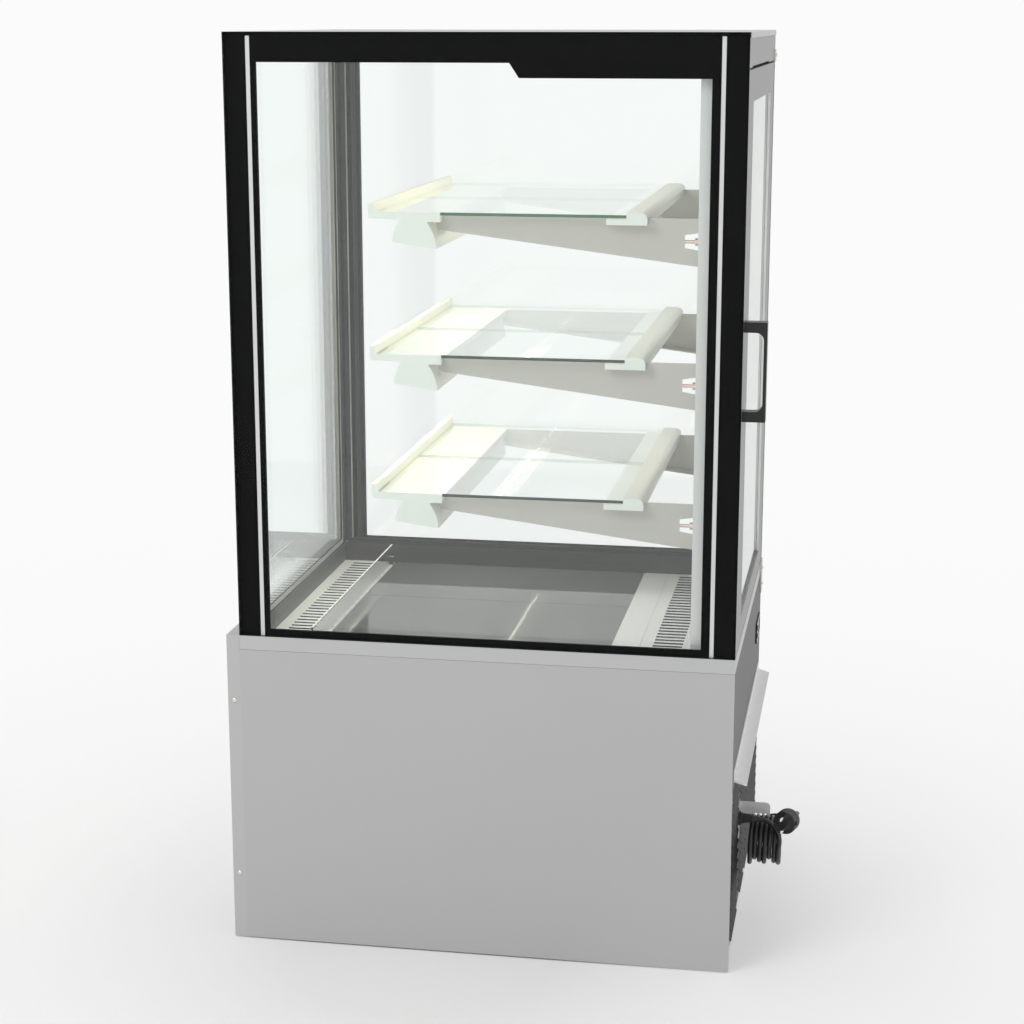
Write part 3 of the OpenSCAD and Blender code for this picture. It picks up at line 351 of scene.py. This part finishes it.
# Places are in mm, with Y from the case's rear face, as in the CAD source
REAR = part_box("side_panels")[1][1] / MM
COIL_X, COIL_TOP = 115.0, 179.5
COIL_OUT, COIL_IN = 63.4, 17.6  # Y of the first and the last turn
COIL_TURNS = 6.25
BEFORE_SHIFT = 0.25  # of a turn, before the coil starts to move towards the wall
LEAD_D = 7.5
gland_route = [(140, 28, 186), (140.1, 35, 186), (141.8, 43, 185.1), (144, 50.8, 181.9), (147.3, 57.7, 176.5),
               (150, 62.8, 169), (151.6, 65.6, 160.2), (152.1, 65.9, 150.9)]
plug_route = [(115, 17.6, 104.5), (105.3, 17.6, 105.8), (96.2, 17.6, 109.5), (88.5, 17.6, 115.5),
              (80.5, 17.6, 123.5), (72.5, 17.7, 131.8), (64.9, 19.8, 140), (58, 25.3, 148), (53.2, 34.6, 154.8),
              (51.8, 46.7, 159.4), (54.8, 59.3, 161.6), (62.2, 69.9, 163.2), (72.8, 77.6, 166.4),
              (85.2, 82.4, 171.6), (98, 85.9, 178.4), (110.8, 88.7, 185.6), (123.5, 91.2, 192.8),
              (136.4, 91.9, 199.2), (150, 87.5, 201)]
TURN_POINTS = 16  # for each turn
# how large each turn hangs: (turns from the start, radius), the last at COIL_TURNS
TURNS = [(0, 37.5), (0.3, 36), (1.25, 35.4), (2.25, 32.6), (3.25, 36.6), (4.25, 35.4), (5.25, 33.4), (6.25, 37.5)]


def turn_radius(turned):
    for (a, ra), (b, rb) in zip(TURNS, TURNS[1:]):
        if turned <= b:
            return ra + (rb - ra) * (0.5 - 0.5 * math.cos(math.pi * (turned - a) / (b - a)))


def coil_points():
    """From the outer side of the coil, round and round towards the wall, every turn hanging from the same height."""
    points = []
    for i in range(int(TURN_POINTS * COIL_TURNS)):
        turned = i / TURN_POINTS
        angle = -2 * math.pi * turned
        r = turn_radius(turned)
        y = COIL_OUT + (COIL_IN - COIL_OUT) * max(0, turned - BEFORE_SHIFT) / (COIL_TURNS - BEFORE_SHIFT)
        points.append((COIL_X + r * math.cos(angle), y, COIL_TOP - r + r * math.sin(angle)))
    return points


route = [Vector((x, y + REAR, z)) * MM for x, y, z in gland_route + coil_points() + plug_route]
curve = bpy.data.curves.new("mains_lead", "CURVE")
curve.dimensions = "3D"
spline = curve.splines.new("NURBS")
spline.points.add(len(route) - 1)
for point, place in zip(spline.points, route):
    point.co = (*place, 1)
spline.order_u = 4
spline.use_endpoint_u = True
spline.resolution_u = 4
curve.bevel_depth = LEAD_D / 2 * MM
curve.bevel_resolution = 5
curve.use_fill_caps = True
lead = bpy.data.objects.new("mains_lead", curve)
scene.collection.objects.link(lead)
curve.materials.append(looks["cord_black"])
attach(lead, "case")
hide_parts("cord_tube", "cord_coil")

# The plug: a round body with finger grooves, a recessed face with a notch at each side, and two pins.
# Profiles are (distance along the plug's axis, radius) in mm
PLUG_REAR = Vector((150, 87.5 + REAR, 201)) * MM
PLUG_TURN, PIN_TILT = math.radians(-19), math.radians(4)
plug_axis = Vector((math.cos(PLUG_TURN), math.sin(PLUG_TURN), 0))
plug_side = Vector((-math.sin(PLUG_TURN), math.cos(PLUG_TURN), 0))
pin_line = -math.cos(PIN_TILT) * Vector((0, 0, 1)) + math.sin(PIN_TILT) * plug_side
notch_line = plug_axis.cross(pin_line)
PIN_APART = 9.5  # from the axis
PLUG_BODY = [(0.1, 0), (0.1, 4.4), (1.5, 5.0), (3, 5.0), (3.4, 4.7), (4.6, 4.7), (5, 5.5), (6.6, 5.6),
             (7, 5.3), (8.2, 5.4), (8.8, 6.4), (11, 8.4), (13.5, 12.0), (16.5, 15.2), (20, 17.2), (23.5, 18.1),
             (25, 18.2), (25.6, 17.7), (27, 17.6), (27.6, 18.2), (29, 18.3), (29.6, 17.8), (31, 17.7),
             (31.6, 18.3), (33, 18.4), (33.6, 17.9), (35, 17.9), (35.6, 18.4), (40.6, 18.4), (41.7, 18.0),
             (42, 17.2), (42, 15.9), (41.6, 15.5), (40.5, 15.2), (40.5, 0)]
PIN = [(39.5, 0), (39.5, 2.38), (58, 2.38), (59, 1.9), (59.4, 1.2), (59.5, 0)]
NOTCH = (33, 15.0, 3.2)  # from this distance, this deep from the axis and this far each way
CREASE = math.radians(38)  # edges that turn more than this stay sharp


def lathe(name, profile, shift, notch=None, steps=64):
    """A turned shape along the plug's axis from (distance, radius) pairs."""
    grid = bmesh.new()
    rings = []
    for along, radius in profile:
        ring = []
        for k in range(steps if radius else 1):
            a = 2 * math.pi * k / steps
            u, v = radius * math.cos(a), radius * math.sin(a)
            if notch and along > notch[0] and abs(v) < notch[2]:
                u = math.copysign(min(abs(u), notch[1]), u)
            ring.append(grid.verts.new(PLUG_REAR + shift + (plug_axis * along + notch_line * u + pin_line * v) * MM))
        rings.append(ring)
    for low, high in zip(rings, rings[1:]):
        for k in range(steps):
            j = (k + 1) % steps
            corners = [low[k % len(low)], low[j % len(low)], high[j % len(high)], high[k % len(high)]]
            grid.faces.new(list(dict.fromkeys(corners)))
    bmesh.ops.recalc_face_normals(grid, faces=grid.faces)
    for face in grid.faces:
        face.smooth = True
    for edge in grid.edges:
        if len(edge.link_faces) == 2 and edge.calc_face_angle() > CREASE:
            edge.smooth = False
    mesh = bpy.data.meshes.new(name)
    grid.to_mesh(mesh)
    grid.free()
    piece = bpy.data.objects.new(name, mesh)
    scene.collection.objects.link(piece)
    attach(piece, "case")
    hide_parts("plug")
    return piece


plug_body = lathe("plug_body", PLUG_BODY, Vector(), NOTCH)
plug_body.data.materials.append(looks["plug"])
for k, way in enumerate((-1, 1)):
    pin = lathe(f"plug_pin_{k + 1}", PIN, pin_line * way * PIN_APART * MM, steps=24)
    pin.data.materials.append(looks["screw"])

# ---------------------------------------------------------------- studio

WHITE = (0.965, 0.965, 0.965)  # the backdrop
HALF = 60.0  # half the floor's side
SHADED_AT = (0.34, -0.11, 0)  # the floor is matte here and turns to the backdrop's white away from it
SHADED_TO, FADE = 0.2, 1.7
AMBIENT = 0.62

floor_mesh = bpy.data.meshes.new("floor")
floor_mesh.from_pydata([(-HALF, -HALF, 0), (HALF, -HALF, 0), (HALF, HALF, 0), (-HALF, HALF, 0)], [], [(0, 1, 2, 3)])
floor = bpy.data.objects.new("floor", floor_mesh)
scene.collection.objects.link(floor)
t = Tree("studio_floor")
geo = t.add("ShaderNodeNewGeometry")
shifted = t.add("ShaderNodeVectorMath", operation="SUBTRACT")
t.feed(shifted.inputs[0], geo.outputs["Position"])
t.feed(shifted.inputs[1], SHADED_AT)
away = t.add("ShaderNodeVectorMath", operation="LENGTH")
t.feed(away.inputs[0], shifted)
beyond = t.math("MULTIPLY", t.math("MAXIMUM", t.math("SUBTRACT", away.outputs["Value"], SHADED_TO), 0.0), -FADE)
near = t.math("EXPONENT", beyond)
matte = t.add("ShaderNodeBsdfDiffuse", Color=(0.90, 0.90, 0.90))
white = t.add("ShaderNodeEmission", Color=WHITE, Strength=1.0)
floor_mesh.materials.append(t.finish(t.mix(near, white, matte)))

# The world: the backdrop's white where the camera or a reflection sees it, and a plain grey as light
world = bpy.data.worlds.new("world")
scene.world = world
world.use_nodes = True
world.node_tree.nodes.clear()
add, link = world.node_tree.nodes.new, world.node_tree.links.new
seen, ambient = add("ShaderNodeBackground"), add("ShaderNodeBackground")
seen.inputs["Color"].default_value = (*WHITE, 1)
ambient.inputs["Color"].default_value = (1, 1, 1, 1)
ambient.inputs["Strength"].default_value = AMBIENT
path = add("ShaderNodeLightPath")
direct = path.outputs["Is Camera Ray"]
for ray in ("Is Glossy Ray", "Is Transmission Ray"):
    either = add("ShaderNodeMath")
    either.operation = "MAXIMUM"
    link(direct, either.inputs[0])
    link(path.outputs[ray], either.inputs[1])
    direct = either.outputs[0]
mixed = add("ShaderNodeMixShader")
link(direct, mixed.inputs[0])
link(ambient.outputs[0], mixed.inputs[1])
link(seen.outputs[0], mixed.inputs[2])
link(mixed.outputs[0], add("ShaderNodeOutputWorld").inputs["Surface"])


def area(name, at, target, size, power):
    data = bpy.data.lights.new(name, "AREA")
    data.shape = "DISK"
    data.size = size
    data.energy = power
    lamp = bpy.data.objects.new(name, data)
    lamp.location = at
    lamp.rotation_euler = (Vector(target) - Vector(at)).to_track_quat("-Z", "Y").to_euler()
    scene.collection.objects.link(lamp)


area("key", (3.0, -2.2, 3.6), (0, 0, 0.7), 2.4, 75)
area("fill", (1.5, 3.2, 2.6), (0, 0, 0.7), 2.4, 4)

scene.view_settings.view_transform = "Standard"
scene.cycles.transparent_max_bounces = 48
